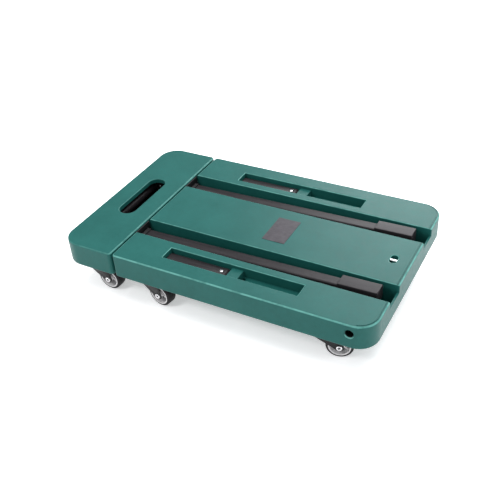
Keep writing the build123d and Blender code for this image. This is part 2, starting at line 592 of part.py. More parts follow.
def pivot_spacer(side, end):
    wall = side * CHANNEL_Y + end * CHANNEL_W / 2
    length = (CHANNEL_W - SLEEVE_W) / 2 - SPACER_GAP
    spacer = rod_y(PIVOT, PIVOT_Z, wall, wall - end * length, SPACER_D)
    return spacer - rod_y(PIVOT, PIVOT_Z, wall + end, wall - 2 * end * length, PIVOT_D)


# ---- stop arms ----------------------------------------------------------------
def arm_pin_length():
    return RECESS_W + 2 * (RIB_T - 0.5)


def stop_arm(side):
    """Flat arm with a half-round end about its pin."""
    y = side * RECESS_Y
    start = RECESS_X + ARM_GAP
    arm = block(start, ARM_PIVOT, y - ARM_W / 2, y + ARM_W / 2, ARM_Z - ARM_T / 2, ARM_Z + ARM_T / 2)
    arm = fillet(arm.edges().filter_by(Axis.Z).sort_by(Axis.X)[:2], 3.0)
    arm = fillet(at_height(arm, ARM_Z + ARM_T / 2).sort_by(Axis.X)[:-1], 1.0)
    arm += rod_y(ARM_PIVOT, ARM_Z, y - ARM_W / 2, y + ARM_W / 2, ARM_T)
    arm -= rod_y(ARM_PIVOT, ARM_Z, y - ARM_W, y + ARM_W, ARM_PIN_D + 2 * PIVOT_FIT)
    return arm - rod_z(ARM_PIVOT - ARM_RIVET_X, y, BASE_Z, DECK_Z, ARM_RIVET_D)


def stop_arm_rivet(side):
    x, y = ARM_PIVOT - ARM_RIVET_X, side * RECESS_Y
    shank = rod_z(x, y, ARM_Z - ARM_T / 2, ARM_Z + ARM_T / 2, ARM_RIVET_D)
    head = rod_z(x, y, ARM_Z + ARM_T / 2, ARM_Z + ARM_T / 2 + ARM_RIVET_HEAD_T, ARM_RIVET_HEAD_D)
    head = fillet(at_height(head, ARM_Z + ARM_T / 2 + ARM_RIVET_HEAD_T), ARM_RIVET_HEAD_T * 0.8)
    return shank + head


def stop_arm_pin(side):
    half = arm_pin_length() / 2
    return rod_y(ARM_PIVOT, ARM_Z, side * RECESS_Y - half, side * RECESS_Y + half, ARM_PIN_D)


# ---- deck trim ----------------------------------------------------------------
def tie_pin_bar():
    """Cross bar in the tie-down hole, along X."""
    half = TIE_L / 2 + TIE_PIN_GRIP
    bar = Cylinder(TIE_PIN_D / 2, 2 * half)
    return Pos(X_HINGE - TIE_X, 0, DECK_Z - TIE_PIN_DEPTH) * Rot(0, 90, 0) * bar


def label_plate():
    plate = Box(LABEL_L, LABEL_W, LABEL_T)
    plate = fillet(plate.edges().filter_by(Axis.Z), 0.2)
    return Pos(X_SEAM + LABEL_X, 0, DECK_Z + LABEL_PROUD - LABEL_T / 2) * plate


# ---- casters, built about the swivel axis with the wheel trailing towards +X ----
def caster_plate():
    plate = Pos(0, 0, PLATE_Z) * Box(PLATE_L, PLATE_L, PLATE_T, align=(Align.CENTER, Align.CENTER, Align.MIN))
    plate = fillet(plate.edges().filter_by(Axis.Z), PLATE_CORNER_R)
    reach = PLATE_SCREW_PITCH / 2
    plate -= [rod_z(i * reach, j * reach, PLATE_Z - 1, SEAT_Z + 1, SCREW_D) for i in (-1, 1) for j in (-1, 1)]
    race = rod_z(0, 0, RACE_Z, PLATE_Z, RACE_D)
    race = chamfer(at_height(race, RACE_Z), 1.0) - rod_z(0, 0, RACE_Z - 1, PLATE_Z, RACE_BORE)
    return plate + race - rod_z(0, 0, RACE_Z, SEAT_Z + 1, KINGPIN_D)


def kingpin():
    """Rivet fixed in the plate. The fork turns on it."""
    head_top = CROWN_Z - SLIDE_GAP
    pin = rod_z(0, 0, head_top - KINGPIN_HEAD_T, SEAT_Z, KINGPIN_D)
    head = rod_z(0, 0, head_top - KINGPIN_HEAD_T, head_top, KINGPIN_HEAD_D)
    return pin + fillet(at_height(head, head_top - KINGPIN_HEAD_T), KINGPIN_HEAD_T * 0.6)


def caster_fork():
    """Pressed fork: a crown and two legs that taper to the axle."""
    top = CROWN_Z + CROWN_T
    axle_z = WHEEL_D / 2
    half = FORK_TOP_L / 2
    eye = Pos(TRAIL, axle_z) * Circle(FORK_END_R)
    upper = make_face(Polyline((-half, top), (half, top), (half, CROWN_Z), (-half, CROWN_Z), close=True))
    outline = make_hull(eye.edges() + upper.edges())
    leg = extrude(Plane.XZ * outline, FORK_T / 2, both=True)
    legs = [Pos(0, side * (FORK_IN + FORK_T / 2), 0) * leg for side in (-1, 1)]
    crown = block(-half, half, -FORK_IN, FORK_IN, CROWN_Z, top)
    fork = crown + legs
    fork -= rod_z(0, 0, CROWN_Z - 1, top + 1, KINGPIN_D + 2 * PIVOT_FIT)
    return fork - rod_y(TRAIL, axle_z, -WHEEL_W, WHEEL_W, AXLE_D)


def wheel_hub():
    """Moulded hub: rim, boss and open spokes."""
    boss = AXLE_D / 2 + HUB_BORE_WALL
    rim = Cylinder(HUB_D / 2, WHEEL_W) - Cylinder(HUB_D / 2 - HUB_RIM_T, WHEEL_W)
    hub = rim + Cylinder(boss, WHEEL_W)
    for i in range(HUB_SPOKES):
        spoke = Box(HUB_D / 2 - HUB_RIM_T / 2, SPOKE_T, SPOKE_W)
        spoke = Pos(HUB_D / 4 - HUB_RIM_T / 4, 0, 0) * spoke
        hub += Rot(0, 0, 360 / HUB_SPOKES * (i + 0.5)) * spoke
    hub -= Cylinder(AXLE_D / 2 + PIVOT_FIT, WHEEL_W + 1)
    return Pos(TRAIL, 0, WHEEL_D / 2) * Rot(90, 0, 0) * hub


def wheel_tyre():
    tyre = Cylinder(WHEEL_D / 2, WHEEL_W)
    tyre = fillet(tyre.edges(), TREAD_R) - Cylinder(HUB_D / 2, WHEEL_W + 1)
    return Pos(TRAIL, 0, WHEEL_D / 2) * Rot(90, 0, 0) * tyre


def wheel_axle():
    """Rivet through the fork legs and the hub."""
    axle_z = WHEEL_D / 2
    axle = rod_y(TRAIL, axle_z, -FORK_OUT, FORK_OUT, AXLE_D)
    for side in (-1, 1):
        axle += rod_y(TRAIL, axle_z, side * FORK_OUT, side * (FORK_OUT + AXLE_HEAD_T), AXLE_HEAD_D)
    ends = axle.edges().filter_by(GeomType.CIRCLE).sort_by(Axis.Y)
    return fillet([ends[0], ends[-1]], AXLE_HEAD_T * 0.5)


def caster_screw():
    screw = rod_z(0, 0, PLATE_Z, PLATE_Z + SCREW_L, SCREW_D)
    head = rod_z(0, 0, PLATE_Z - SCREW_HEAD_T, PLATE_Z, SCREW_HEAD_D)
    return screw + fillet(at_height(head, PLATE_Z - SCREW_HEAD_T), SCREW_HEAD_T * 0.5)


def placed(shape, place, turned):
    x, y, heading = CASTERS[place]
    return Pos(x, y, 0) * Rot(0, 0, heading if turned else 0) * shape


def build():
    """Every sub-part, by node name."""
    nodes = {"deck_shell": deck_shell(), "head_shell": head_shell(), "grip_bar": grip_bar(),
             "label_plate": label_plate(), "tie_pin": tie_pin_bar(), "hand_tray": hand_tray()}
    for name, side in SIDES.items():
        nodes[f"outer_tube_{name}"] = outer_tube(side)
        nodes[f"hinge_sleeve_{name}"] = sleeve(side)
        nodes[f"inner_tube_{name}"] = inner_tube(side)
        nodes[f"stop_arm_{name}"] = stop_arm(side)
        nodes[f"stop_arm_rivet_{name}"] = stop_arm_rivet(side)
    both = list(SIDES.values())
    nodes["tube_collars"] = [collar(s) for s in both]
    nodes["grip_rivets"] = [grip_rivet(s) for s in both]
    nodes["slide_bushes"] = [slide_bush(s) for s in both]
    nodes["sleeve_rivets"] = [sleeve_rivet(s) for s in both]
    nodes["pivot_bolts"] = [pivot_bolt(s) for s in both]
    nodes["pivot_nuts"] = [pivot_nut(s) for s in both]
    nodes["pivot_spacers"] = [pivot_spacer(s, end) for s in both for end in (-1, 1)]
    nodes["stop_arm_pins"] = [stop_arm_pin(s) for s in both]
    nodes["socket_plates"] = [socket_plate(s) for s in both]
    nodes["panel_screws"] = [tube_screw(s) for s in both]
    nodes["panel_screws"] += [Pos(x, y, 0) * tray_screw() for x, y in tray_screw_spots()]
    parts = {"caster_plate": (caster_plate(), False), "caster_fork": (caster_fork(), True),
             "wheel_hub": (wheel_hub(), True), "wheel_tyre": (wheel_tyre(), True),
             "wheel_axle": (wheel_axle(), True)}
    for place in CASTERS:
        for part, (shape, turned) in parts.items():
            nodes[f"{part}_{place}"] = placed(shape, place, turned)
    pin, screw = kingpin(), caster_screw()
    for group, places in (("deck", DECK_CASTERS), ("head", HEAD_CASTERS)):
        nodes[f"kingpins_{group}"] = [placed(pin, place, False) for place in places]
        nodes[f"caster_screws_{group}"] = [Pos(x, y, 0) * screw for x, y in screw_spots(places)]
    return nodes


os.makedirs("parts", exist_ok=True)
for name, shape in build().items():
    solids = shape if isinstance(shape, list) else [shape]
    solids = [solid for item in solids for solid in item.solids()]
    export_step(Compound(children=solids) if len(solids) > 1 else solids[0], f"parts/{name}.step")
    print(f"{name}: {len(solids)} solid(s)")
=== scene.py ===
import json
from math import cos, pi, radians, sin

import bmesh
import bpy
from mathutils import Matrix, Quaternion, Vector

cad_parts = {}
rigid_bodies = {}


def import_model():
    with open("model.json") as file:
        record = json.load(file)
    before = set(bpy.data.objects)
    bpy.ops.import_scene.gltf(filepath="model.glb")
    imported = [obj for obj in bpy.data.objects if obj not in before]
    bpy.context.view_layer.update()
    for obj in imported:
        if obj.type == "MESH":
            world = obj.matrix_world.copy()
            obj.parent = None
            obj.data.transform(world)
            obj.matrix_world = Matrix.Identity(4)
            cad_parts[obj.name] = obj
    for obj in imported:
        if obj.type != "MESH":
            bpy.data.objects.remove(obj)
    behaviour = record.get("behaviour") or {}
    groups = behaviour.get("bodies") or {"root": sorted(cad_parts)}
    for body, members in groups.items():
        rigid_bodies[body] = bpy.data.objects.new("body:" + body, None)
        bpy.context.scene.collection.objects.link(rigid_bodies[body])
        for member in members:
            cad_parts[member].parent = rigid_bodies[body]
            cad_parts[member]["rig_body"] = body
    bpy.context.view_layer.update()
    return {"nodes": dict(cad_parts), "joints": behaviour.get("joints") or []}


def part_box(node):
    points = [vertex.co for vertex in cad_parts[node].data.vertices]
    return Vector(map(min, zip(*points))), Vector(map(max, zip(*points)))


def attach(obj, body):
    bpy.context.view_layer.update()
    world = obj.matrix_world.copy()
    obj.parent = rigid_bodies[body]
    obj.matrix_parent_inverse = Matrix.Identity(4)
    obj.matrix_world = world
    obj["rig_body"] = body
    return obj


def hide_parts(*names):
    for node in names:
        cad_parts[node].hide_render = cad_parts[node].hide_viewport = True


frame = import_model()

nodes = frame["nodes"]
scene = bpy.context.scene
MM = 0.001

# ---- camera ----------------------------------------------------------------------
# A long lens at arm's length, high over the front corner by the handle's hinge.
# It is held slightly out of level, so the right side of the view sits lower.
CAMERA_PLACE = Vector((0.4574, -0.8039, 0.7154))
CAMERA_AIM = Vector((0.0136, -0.0380, 0.0650))
CAMERA_ROLL = -3.88
LENS = 54.7

camera = bpy.data.objects.new("camera", bpy.data.cameras.new("camera"))
scene.collection.objects.link(camera)
camera.data.lens = LENS
camera.data.sensor_width = 36.0
camera.data.clip_start, camera.data.clip_end = 0.05, 50.0
sight = (CAMERA_AIM - CAMERA_PLACE).to_track_quat("-Z", "Y")
camera.rotation_mode = "QUATERNION"
camera.rotation_quaternion = sight @ Quaternion((0, 0, 1), radians(CAMERA_ROLL))
camera.location = CAMERA_PLACE
scene.camera = camera

# ---- studio ----------------------------------------------------------------------
# White sweep and white room. A wide soft box stands low behind, so the deck grows
# glossier towards the back, and a small one in front catches the rounded edges.
ROOM_COLOUR = (0.93, 0.965, 1.0, 1.0)
ROOM_STRENGTH = 0.66
FLOOR_HALF = 9.0
FLOOR_WHITE = (0.92, 0.92, 0.92, 1)
FLOOR_ROUGH = 0.9
FLOOR_GLOW = 0.42
# name: (place, aim, size, power, colour)
SOFT_BOXES = {
    "back": ((0.05, 1.75, 1.05), (0.05, 0.0, 0.05), 1.5, 47.0, (0.97, 0.985, 1.0)),
    "overhead": ((0.1, 0.2, 2.4), (0.0, 0.0, 0.0), 2.2, 46.0, (1.0, 1.0, 1.0)),
    "hinge_side": ((2.0, 0.1, 0.6), (0.1, 0.0, 0.05), 1.3, 7.0, (0.96, 0.98, 1.0)),
    "front_edge": ((-0.85, -1.35, 1.6), (0.0, 0.0, 0.05), 0.4, 13.0, (1.0, 1.0, 1.0)),
}

scene.view_settings.view_transform = "Standard"
world = bpy.data.worlds.new("room")
world.use_nodes = True
walls = world.node_tree.nodes["Background"]
walls.inputs["Color"].default_value = ROOM_COLOUR
walls.inputs["Strength"].default_value = ROOM_STRENGTH
scene.world = world
for name, (place, aim, size, power, colour) in SOFT_BOXES.items():
    lamp = bpy.data.lights.new(name, "AREA")
    lamp.shape, lamp.size, lamp.energy, lamp.color = "SQUARE", size, power, colour
    box = bpy.data.objects.new(name, lamp)
    scene.collection.objects.link(box)
    box.location = place
    box.rotation_euler = (Vector(aim) - Vector(place)).to_track_quat("-Z", "Y").to_euler()

floor_mesh = bpy.data.meshes.new("floor")
corners = [(x * FLOOR_HALF, y * FLOOR_HALF, 0) for x, y in ((-1, -1), (1, -1), (1, 1), (-1, 1))]
floor_mesh.from_pydata(corners, [], [(0, 1, 2, 3)])
floor = bpy.data.objects.new("floor", floor_mesh)
scene.collection.objects.link(floor)
paper = bpy.data.materials.new("floor_paper")
paper.use_nodes = True
shader = paper.node_tree.nodes["Principled BSDF"]
shader.inputs["Base Color"].default_value = FLOOR_WHITE
shader.inputs["Roughness"].default_value = FLOOR_ROUGH
shader.inputs["Emission Color"].default_value = (1, 1, 1, 1)
shader.inputs["Emission Strength"].default_value = FLOOR_GLOW
floor_mesh.materials.append(paper)


# ---- moulded body ----------------------------------------------------------------
# Deck and end panel are injection moulded in teal polypropylene with a fine
# spark-eroded grain. The rounded top edges are painted paler, a patchy painted
# highlight that is strongest on the deck, and the side bores that lead to the
# handle's bolts are painted near black, as painted shade.
def add_node(tree, kind, links=None, **settings):
    """A node with its settings, and a value or a link for each of its inputs."""
    made = tree.nodes.new(kind)
    for setting, value in settings.items():
        setattr(made, setting, value)
    for key, value in (links or {}).items():
        if isinstance(value, bpy.types.NodeSocket):
            tree.links.new(value, made.inputs[key])
        else:
            made.inputs[key].default_value = value
    return made


def new_finish(name):
    """A material, its node tree, its shader and the object's own coordinates."""
    made = bpy.data.materials.new(name)
    made.use_nodes = True
    tree = made.node_tree
    place = add_node(tree, "ShaderNodeTexCoord")
    return made, tree, tree.nodes["Principled BSDF"], place


def noise(tree, where, scale, detail=2.0, roughness=0.5):
    """Grain of one size: about 1 / scale metres across."""
    made = add_node(tree, "ShaderNodeTexNoise", {"Vector": where, "Scale": scale, "Detail": detail,
                                                 "Roughness": roughness})
    return made.outputs["Fac"]


def ramp(tree, factor, low, high, start=0.0, end=1.0):
    """factor from low..high, spread over start..end and clamped."""
    made = add_node(tree, "ShaderNodeMapRange", {"Value": factor, "From Min": low, "From Max": high,
                                                 "To Min": start, "To Max": end})
    return made.outputs["Result"]


def blend_colours(tree, factor, first, second):
    made = add_node(tree, "ShaderNodeMix", data_type="RGBA")
    for key, value in ((0, factor), (6, first), (7, second)):
        if isinstance(value, bpy.types.NodeSocket):
            tree.links.new(value, made.inputs[key])
        else:
            made.inputs[key].default_value = value
    return made.outputs[2]


def calculate(tree, operation, first, second=0.0):
    made = add_node(tree, "ShaderNodeMath", {0: first, 1: second}, operation=operation)
    return made.outputs[0]


def relief(tree, shader, *layers):
    """Bump layers on the shader: (height, distance in metres, strength)."""
    normal = None
    for height, distance, strength in layers:
        links = {"Height": height, "Distance": distance, "Strength": strength}
        if normal:
            links["Normal"] = normal
        normal = add_node(tree, "ShaderNodeBump", links).outputs["Normal"]
    tree.links.new(normal, shader.inputs["Normal"])


def cover(finish, *names):
    """Puts a finish on CAD nodes."""
    for name in names:
        nodes[name].data.materials.clear()
        nodes[name].data.materials.append(finish)


PLASTIC_DARK = (0.0085, 0.078, 0.069, 1)
PLASTIC_LIGHT = (0.0120, 0.095, 0.084, 1)
# painted highlight colour for the rounded top edges
PLASTIC_EDGE_HIGHLIGHT = (0.130, 0.360, 0.320, 1)
# painted shade colour inside the side bores
BORE_SHADE = (0.0040, 0.0055, 0.0055, 1)
BORE_SHADE_R = 5.6 * MM
BORE_SHADE_FADE = 0.4 * MM
PLASTIC_GLOSS = 0.14
PLASTIC_ROUGH = (0.36, 0.46)
FLOW_SHARE = 0.65
SEAM = (-156 * MM, -148 * MM)
# share of the painted edge highlight that is left on the end panel
PANEL_HIGHLIGHT_SHARE = 0.35

moulded, tree, shader, place = new_finish("moulded_green")
flow = noise(tree, place.outputs["Object"], 16.0, 4.0, 0.6)
mottle = noise(tree, place.outputs["Object"], 170.0, 3.0)
cloud = calculate(tree, "ADD", calculate(tree, "MULTIPLY", flow, FLOW_SHARE),
                  calculate(tree, "MULTIPLY", mottle, 1 - FLOW_SHARE))
body = blend_colours(tree, ramp(tree, cloud, 0.36, 0.64), PLASTIC_DARK, PLASTIC_LIGHT)
facing = add_node(tree, "ShaderNodeSeparateXYZ", {"Vector": place.outputs["Normal"]})
# Painted highlight: fillets that turn upwards are lightened, broken up by noise and fainter on the end
# panel.
turning = calculate(tree, "MULTIPLY", ramp(tree, facing.outputs["Z"], 0.15, 0.5),
                    ramp(tree, facing.outputs["Z"], 0.9, 0.99, 1.0, 0.0))
patchy = ramp(tree, noise(tree, place.outputs["Object"], 90.0), 0.3, 0.6, 0.35, 0.8)
along = add_node(tree, "ShaderNodeSeparateXYZ", {"Vector": place.outputs["Object"]})
highlight_share = calculate(tree, "MULTIPLY", patchy, ramp(tree, along.outputs["X"], *SEAM, PANEL_HIGHLIGHT_SHARE, 1.0))
painted_edge_highlight = calculate(tree, "MULTIPLY", turning, highlight_share)
with_edge_highlight = blend_colours(tree, painted_edge_highlight, body, PLASTIC_EDGE_HIGHLIGHT)
# Painted shade: everything within a small radius of the pivot axis, which takes in the side bores, is
# darkened to near black.
pivot = next(j["pos_m"] for j in frame["joints"] if j["name"] == "handle_pivot")
off_axis = add_node(tree, "ShaderNodeCombineXYZ", {
    "X": calculate(tree, "SUBTRACT", along.outputs["X"], pivot[0]),
    "Z": calculate(tree, "SUBTRACT", along.outputs["Z"], pivot[2])})
reach = add_node(tree, "ShaderNodeVectorMath", {0: off_axis.outputs[0]}, operation="LENGTH").outputs["Value"]
bore_shade = ramp(tree, reach, BORE_SHADE_R, BORE_SHADE_R + BORE_SHADE_FADE, 1.0, 0.0)
tree.links.new(blend_colours(tree, bore_shade, with_edge_highlight, BORE_SHADE), shader.inputs["Base Color"])
tree.links.new(ramp(tree, mottle, 0.3, 0.7, *PLASTIC_ROUGH), shader.inputs["Roughness"])
shader.inputs["Specular IOR Level"].default_value = PLASTIC_GLOSS
grain = noise(tree, place.outputs["Object"], 2600.0, 2.0, 0.7)
relief(tree, shader, (flow, 0.0012, 0.12), (grain, 0.00006, 0.5))
cover(moulded, "deck_shell", "head_shell")

# ---- label -----------------------------------------------------------------------
# A plain dark plate let into the deck, printed all over in one mottled grey.
LABEL_DARK = (0.026, 0.022, 0.028, 1)
LABEL_LIGHT = (0.050, 0.044, 0.052, 1)
LABEL_GLOSS = 0.2
LABEL_ROUGH = (0.34, 0.5)

plate_grey, tree, shader, place = new_finish("label_dark")
print_patch = noise(tree, place.outputs["Object"], 130.0, 4.0, 0.6)
tree.links.new(blend_colours(tree, ramp(tree, print_patch, 0.35, 0.65), LABEL_DARK, LABEL_LIGHT),
               shader.inputs["Base Color"])
tree.links.new(ramp(tree, print_patch, 0.3, 0.7, *LABEL_ROUGH), shader.inputs["Roughness"])
shader.inputs["Specular IOR Level"].default_value = LABEL_GLOSS
relief(tree, shader, (noise(tree, place.outputs["Object"], 1500.0), 0.00003, 0.4))
cover(plate_grey, "label_plate")

# ---- painted steel ---------------------------------------------------------------
# Square tubes, hinge sleeves, grip bar and stop arms: steel in black powder coat,
# with the slight orange peel that the oven leaves. Cut edges are broken by hand.
COAT_DARK = (0.0125, 0.0105, 0.0120, 1)
COAT_LIGHT = (0.0220, 0.0185, 0.0205, 1)
COAT_GLOSS = 0.14
COAT_ROUGH = (0.32, 0.42)
SLEEVE_EDGE = 0.7 * MM
ARM_EDGE = 0.5 * MM
MERGE = 0.002 * MM
FLAT_ANGLE = 0.5
EDGE_ANGLE = 40
CREASE_ANGLE = 35.0


def eased(node, edge, finish):
    """A merged copy of a CAD node with its sharp edges rounded, which stands for that node."""
    source = nodes[node]
    shape = bmesh.new()
    shape.from_mesh(source.data)
    bmesh.ops.remove_doubles(shape, verts=shape.verts, dist=MERGE)
    bmesh.ops.dissolve_limit(shape, angle_limit=radians(FLAT_ANGLE), verts=shape.verts, edges=shape.edges)
    mesh = bpy.data.meshes.new(f"{node}_eased")
    shape.to_mesh(mesh)
    shape.free()
    piece = bpy.data.objects.new(f"{node}_eased", mesh)
    scene.collection.objects.link(piece)
    bevel = piece.modifiers.new("eased_edges", "BEVEL")
    bevel.width, bevel.segments = edge, 3
    bevel.limit_method, bevel.angle_limit = "ANGLE", radians(EDGE_ANGLE)
    settle(piece)
    piece.data.materials.clear()
    piece.data.materials.append(finish)
    smooth(piece)
    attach(piece, source["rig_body"])
    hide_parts(node)
    return piece


def settle(piece):
    """Turns a piece with its modifiers into a plain mesh."""
    bpy.context.view_layer.update()
    seen = piece.evaluated_get(bpy.context.evaluated_depsgraph_get())
    mesh = bpy.data.meshes.new_from_object(seen)
    piece.modifiers.clear()
    piece.data = mesh


def smooth(piece):
    """Smooth shading that keeps creases sharp."""
    piece.data.shade_smooth()
    piece.data.set_sharp_from_angle(angle=radians(CREASE_ANGLE))


coated, tree, shader, place = new_finish("black_steel")
peel = noise(tree, place.outputs["Object"], 620.0, 2.0)
streak = add_node(tree, "ShaderNodeMapping",
                  {"Vector": place.outputs["Object"], "Scale": (0.08, 1.0, 1.0)})
drawn = noise(tree, streak.outputs["Vector"], 260.0, 3.0)
tree.links.new(blend_colours(tree, ramp(tree, drawn, 0.35, 0.65), COAT_DARK, COAT_LIGHT),
               shader.inputs["Base Color"])
tree.links.new(ramp(tree, drawn, 0.3, 0.7, *COAT_ROUGH), shader.inputs["Roughness"])
shader.inputs["Specular IOR Level"].default_value = COAT_GLOSS
relief(tree, shader, (peel, 0.00008, 0.5))
cover(coated, "grip_bar")
for side in ("front", "rear"):
    cover(coated, f"outer_tube_{side}", f"inner_tube_{side}")
    eased(f"hinge_sleeve_{side}", SLEEVE_EDGE, coated)
    eased(f"stop_arm_{side}", ARM_EDGE, coated)

# ---- black nylon -----------------------------------------------------------------
# Tube collars, slide bushes, pivot spacers, the plates that close the channels and
# the tray under the hand slot, all moulded in black nylon.
NYLON_DARK = (0.0040, 0.0038, 0.0044, 1)
NYLON_LIGHT = (0.0085, 0.0078, 0.0088, 1)
NYLON_GLOSS = 0.25
NYLON_ROUGH = (0.50, 0.62)

nylon, tree, shader, place = new_finish("black_plastic")
fleck = noise(tree, place.outputs["Object"], 900.0, 2.0)
tree.links.new(blend_colours(tree, fleck, NYLON_DARK, NYLON_LIGHT), shader.inputs["Base Color"])
tree.links.new(ramp(tree, fleck, 0.3, 0.7, *NYLON_ROUGH), shader.inputs["Roughness"])
shader.inputs["Specular IOR Level"].default_value = NYLON_GLOSS
relief(tree, shader, (fleck, 0.00005, 0.4))
cover(nylon, "tube_collars", "slide_bushes", "pivot_spacers", "socket_plates", "hand_tray")

# ---- bright metal ----------------------------------------------------------------
# Rivets, axles, bearing balls and the tie bar are bright steel, nickel plated. The
# bar lies in the deck's tie-down hole, and each rivet ends a stop arm or the grip bar.
NICKEL_DARK = (0.62, 0.61, 0.62, 1)
NICKEL_LIGHT = (0.82, 0.81, 0.82, 1)
NICKEL_ROUGH = (0.16, 0.30)

bright, tree, shader, place = new_finish("bright_steel")
polish = noise(tree, place.outputs["Object"], 1200.0, 3.0)
tree.links.new(blend_colours(tree, polish, NICKEL_DARK, NICKEL_LIGHT), shader.inputs["Base Color"])
shader.inputs["Metallic"].default_value = 1.0
tree.links.new(ramp(tree, polish, 0.3, 0.7, *NICKEL_ROUGH), shader.inputs["Roughness"])
relief(tree, shader, (polish, 0.00003, 0.3))
cover(bright, "tie_pin", "stop_arm_rivet_front", "stop_arm_rivet_rear", "grip_rivets")

# ---- zinc-plated fasteners -------------------------------------------------------
# Pivot bolts and nuts, the stop arms' pins, kingpins, sleeve rivets and the end
# panel's screws are steel, zinc plated, which leaves a dull spangle.
ZINC_DARK = (0.36, 0.37, 0.38, 1)
ZINC_LIGHT = (0.56, 0.57, 0.58, 1)
ZINC_ROUGH = (0.28, 0.45)

zinc, tree, shader, place = new_finish("zinc_steel")
spangle = noise(tree, place.outputs["Object"], 700.0, 3.0)
tree.links.new(blend_colours(tree, spangle, ZINC_DARK, ZINC_LIGHT), shader.inputs["Base Color"])
shader.inputs["Metallic"].default_value = 1.0
tree.links.new(ramp(tree, spangle, 0.3, 0.7, *ZINC_ROUGH), shader.inputs["Roughness"])
relief(tree, shader, (spangle, 0.00004, 0.4))
cover(zinc, "pivot_bolts", "pivot_nuts", "stop_arm_pins", "sleeve_rivets")
cover(zinc, "kingpins_deck", "kingpins_head", "panel_screws")

# ---- caster plates and forks -----------------------------------------------------
# Plates and forks are pressed from sheet steel and dipped in black lacquer, so
# their edges are rounded and the lacquer gathers a little there.
LACQUER_DARK = (0.0050, 0.0048, 0.0056, 1)
LACQUER_LIGHT = (0.0110, 0.0105, 0.0118, 1)
LACQUER_GLOSS = 0.22
LACQUER_ROUGH = (0.24, 0.36)
PRESSED_EDGE = 0.55 * MM

lacquer, tree, shader, place = new_finish("black_fork")
dip = noise(tree, place.outputs["Object"], 420.0, 3.0)
tree.links.new(blend_colours(tree, dip, LACQUER_DARK, LACQUER_LIGHT), shader.inputs["Base Color"])
tree.links.new(ramp(tree, dip, 0.3, 0.7, *LACQUER_ROUGH), shader.inputs["Roughness"])
shader.inputs["Specular IOR Level"].default_value = LACQUER_GLOSS
relief(tree, shader, (dip, 0.00008, 0.5))
casters = [j["name"][len("roll_"):] for j in frame["joints"] if j["name"].startswith("roll_")]
for caster in casters:
    eased(f"caster_fork_{caster}", PRESSED_EDGE, lacquer)
    eased(f"caster_plate_{caster}", PRESSED_EDGE, lacquer)


# ---- swivel balls ----------------------------------------------------------------
# Each caster turns on a ring of bearing balls between its plate's race and the crown
# of its fork. The balls show as a bright line under the race.
BALLS = 20
BALL_R = 1.15 * MM
BALL_RING_R = 12.6 * MM


def new_tree(name, inputs):
    """A Geometry Nodes tree with named inputs. Returns it, its sockets and its output node."""
    made = bpy.data.node_groups.new(name, "GeometryNodeTree")
    made.interface.new_socket("Geometry", in_out="INPUT", socket_type="NodeSocketGeometry")
    for label, kind in inputs.items():
        made.interface.new_socket(label, in_out="INPUT", socket_type=f"NodeSocket{kind}")
    made.interface.new_socket("Geometry", in_out="OUTPUT", socket_type="NodeSocketGeometry")
    return made, made.nodes.new("NodeGroupInput").outputs, made.nodes.new("NodeGroupOutput")


def finish_tree(tree, end, geometry, finish):
    """Ends a tree in plain geometry that has its material."""
    real = add_node(tree, "GeometryNodeRealizeInstances", {"Geometry": geometry})
    painted = add_node(tree, "GeometryNodeSetMaterial", {"Geometry": real.outputs[0], "Material": finish})
    tree.links.new(painted.outputs[0], end.inputs[0])


def grow(name, tree, values, place, seed_points=((0, 0, 0),)):
    """A plain mesh piece from a tree, its input values and the matrix that puts it in place."""
    mesh = bpy.data.meshes.new(name)
    mesh.from_pydata([tuple(p) for p in seed_points], [], [])
    piece = bpy.data.objects.new(name, mesh)
    scene.collection.objects.link(piece)
    grown = piece.modifiers.new(tree.name, "NODES")
    grown.node_group = tree
    for socket in tree.interface.items_tree:
        if socket.in_out == "INPUT" and socket.name in values:
            grown[socket.identifier] = values[socket.name]
    settle(piece)
    piece.data.transform(place)
    smooth(piece)
    return piece


ball_tree, given, end = new_tree("ball_ring", {"Balls": "Int", "Ball Radius": "Float",
                                               "Ring Radius": "Float"})
ring = add_node(ball_tree, "GeometryNodeMeshCircle",
                {"Vertices": given["Balls"], "Radius": given["Ring Radius"]})
ball = add_node(ball_tree, "GeometryNodeMeshIcoSphere",
                {"Radius": given["Ball Radius"], "Subdivisions": 3})
balls = add_node(ball_tree, "GeometryNodeInstanceOnPoints",
                 {"Points": ring.outputs[0], "Instance": ball.outputs[0]})
finish_tree(ball_tree, end, balls.outputs[0], bright)
ball_sizes = {"Balls": BALLS, "Ball Radius": BALL_R, "Ring Radius": BALL_RING_R}
for caster in casters:
    low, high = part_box(f"caster_plate_{caster}")
    fork_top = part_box(f"caster_fork_{caster}")[1].z
    centre = Vector(((low.x + high.x) / 2, (low.y + high.y) / 2, (fork_top + low.z) / 2))
    piece = grow(f"swivel_balls_{caster}", ball_tree, ball_sizes, Matrix.Translation(centre))
    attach(piece, f"fork_{caster}")

# ---- caster screws ---------------------------------------------------------------
# Four pan-head screws with a cross recess hold each plate to its bosses. They are
# zinc plated and driven from below.
SCREW_HEAD_R = 3.75 * MM
SCREW_HEAD_H = 2.3 * MM
SCREW_SHANK_R = 2.0 * MM
SCREW_REACH = 16.0 * MM
SCREW_PITCH = 30.0 * MM
PLATE_T = 2.0 * MM
RECESS_L = 4.4 * MM
RECESS_W = 1.1 * MM
RECESS_D = 1.3 * MM


